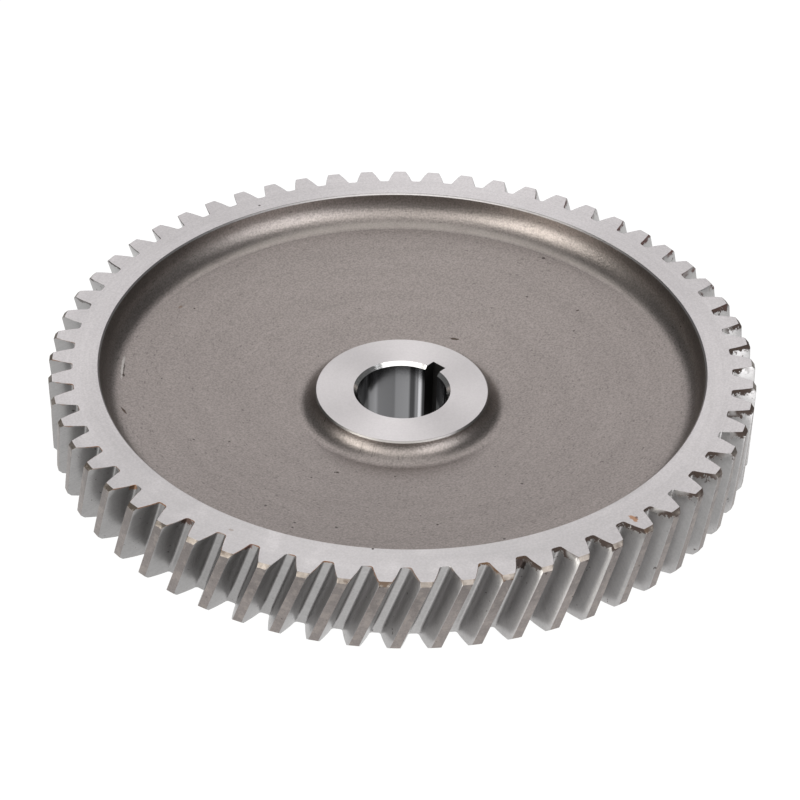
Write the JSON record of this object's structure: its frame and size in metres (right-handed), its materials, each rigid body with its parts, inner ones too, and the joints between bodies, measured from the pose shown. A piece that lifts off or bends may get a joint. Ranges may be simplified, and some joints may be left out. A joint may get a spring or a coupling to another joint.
{
  "type": "pinion gear",
  "caption": "Helical pinion gear of machined steel: toothed rim, dished web and a central hub with a keyed bore that drives or follows a parallel shaft's gear.",
  "frame": {"origin": "on the bore's axis, in the plane of the hub's underside", "axes": "+Z along the bore, from the hub's underside to the open recess; +X through the middle of the keyway"},
  "size_m": [0.1938, 0.1938, 0.034],
  "materials": {
    "steel": "machined, satin"
  },
  "bodies": {
    "root": {"pinion_gear": "steel"}
  },
  "joints": []
}
